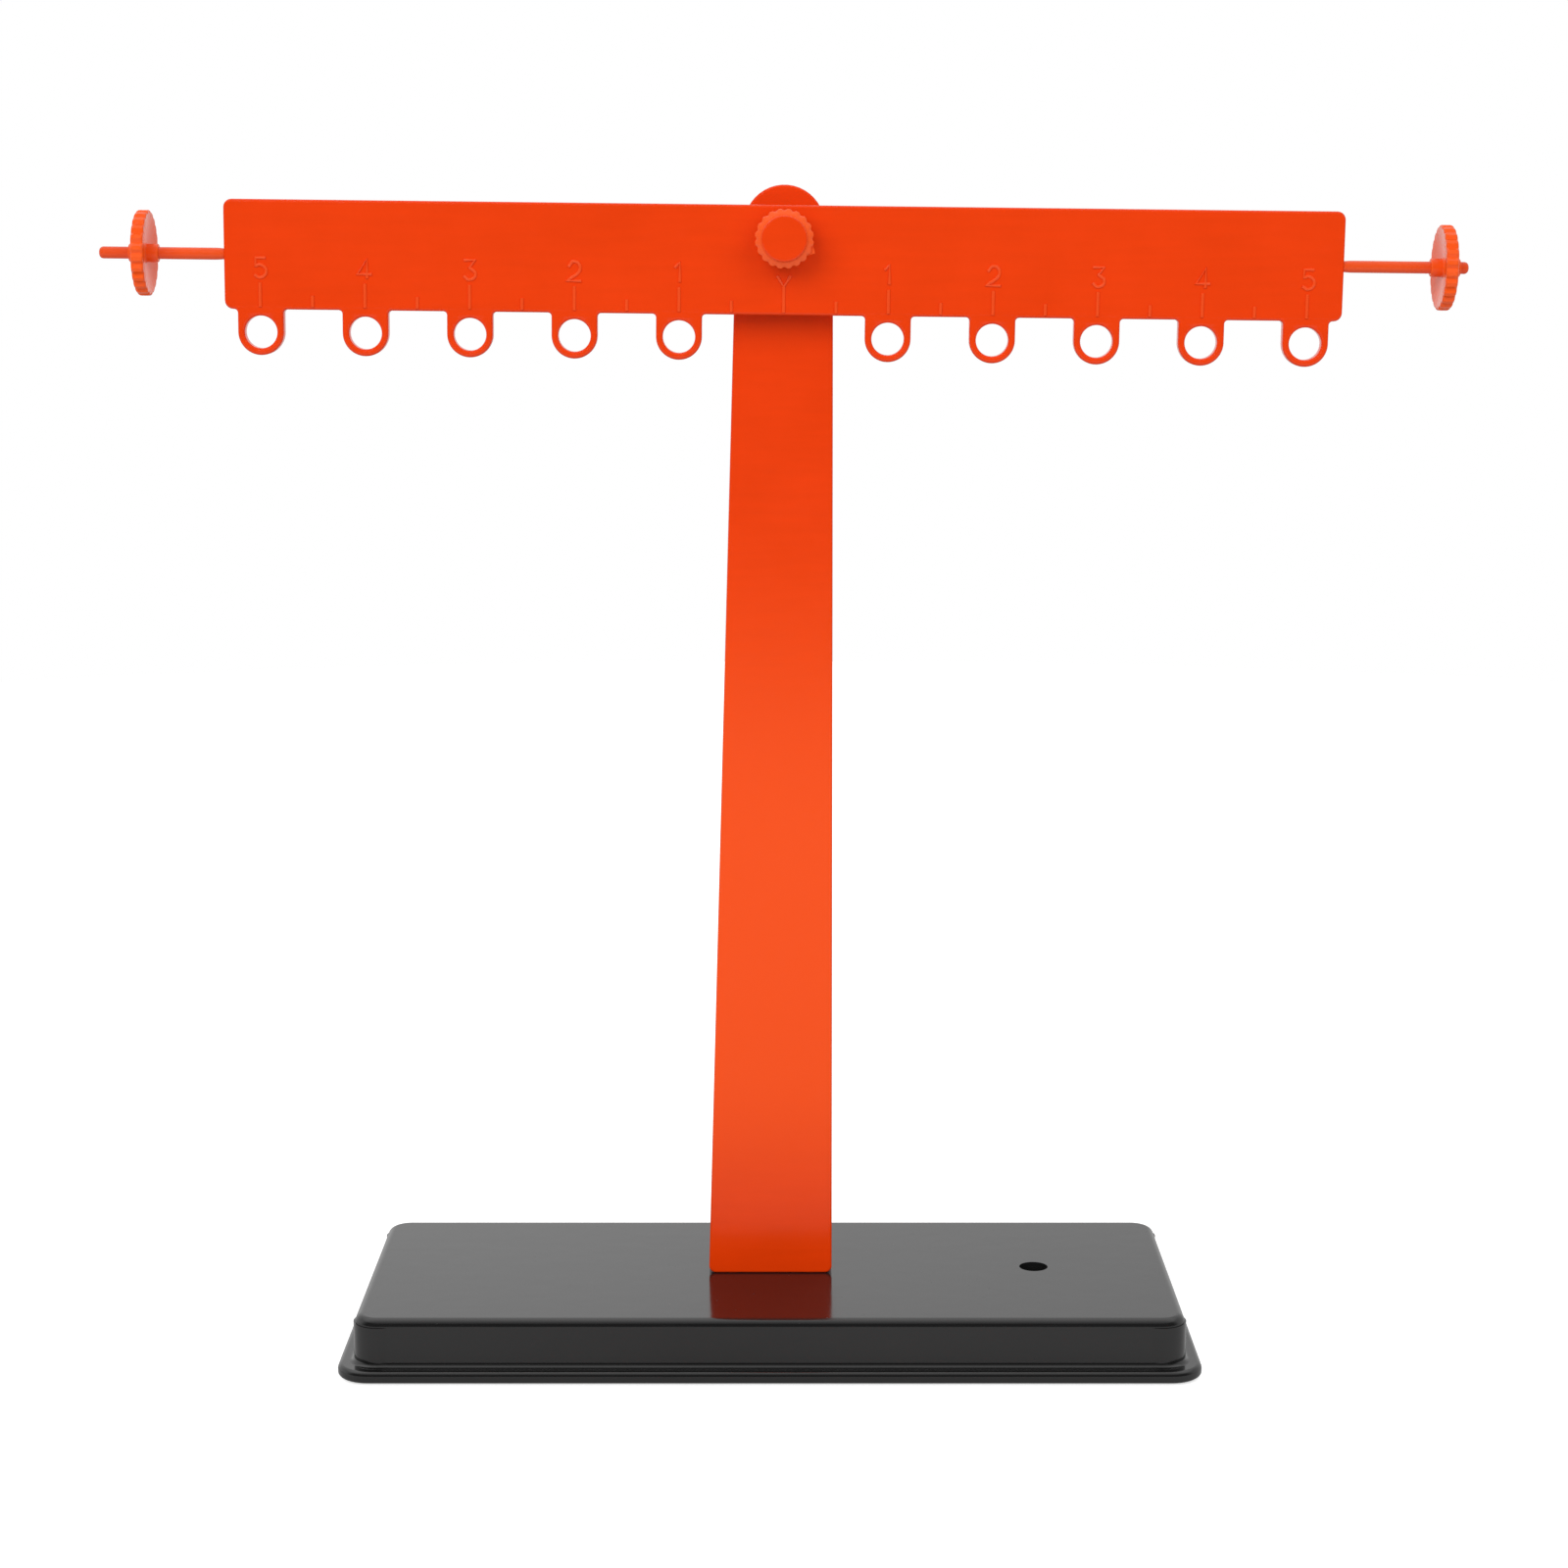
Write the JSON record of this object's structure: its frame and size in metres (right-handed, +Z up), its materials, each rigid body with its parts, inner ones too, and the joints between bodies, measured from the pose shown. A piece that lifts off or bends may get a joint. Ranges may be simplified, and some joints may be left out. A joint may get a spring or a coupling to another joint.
{
  "type": "lever balance",
  "caption": "Classroom lever balance: a flat beam with hanging rings and trim nuts swings on a pivot at the head of a tapered post on a shallow tray base.",
  "frame": {"origin": "on the table plane, straight below the pivot, which is the middle of the whole part's footprint", "axes": "+X along the beam to the right as the numerals are read, +Y away from the numbered face, +Z up"},
  "size_m": [0.2615, 0.0696, 0.2302],
  "materials": {
    "orange_plastic": "glossy moulded orange plastic",
    "black_plastic": "polished black moulded plastic",
    "zinc_steel": "bright zinc-plated steel",
    "brass": "plain turned brass",
    "rubber": "soft black pad"
  },
  "bodies": {
    "stand": {"base_tray": "black_plastic", "foot_front_left": "rubber", "foot_front_right": "rubber", "foot_rear_left": "rubber", "foot_rear_right": "rubber", "post": "orange_plastic", "post_screws": "zinc_steel", "post_washers": "zinc_steel", "pivot_axle": "zinc_steel", "axle_head_washer": "zinc_steel", "axle_lock_nut": "zinc_steel", "beam_rear_washer": "zinc_steel", "beam_front_washer": "zinc_steel"},
    "beam": {"beam": "orange_plastic"},
    "knob": {"thumb_knob": "orange_plastic", "knob_insert": "brass"},
    "left_nut": {"left_balance_nut": "orange_plastic"},
    "right_nut": {"right_balance_nut": "orange_plastic"}
  },
  "joints": [
    {"name": "beam_swing", "type": "hinge", "parent": "stand", "child": "beam", "pos_m": [0, -0.0077, 0.22], "axis": [0, 1, 0], "range_deg": [-75, 75]},
    {"name": "knob_turn", "type": "hinge", "parent": "stand", "child": "knob", "pos_m": [0, -0.0135, 0.22], "axis": [0, 1, 0], "continuous": true},
    {"name": "left_nut_slide", "type": "slide", "parent": "beam", "child": "left_nut", "axis": [-0.9999, 0, 0.0113], "range_m": [-0.01095, 0.0057]},
    {"name": "right_nut_slide", "type": "slide", "parent": "beam", "child": "right_nut", "axis": [0.9999, 0, -0.0113], "range_m": [-0.015, 0.00165]}
  ]
}
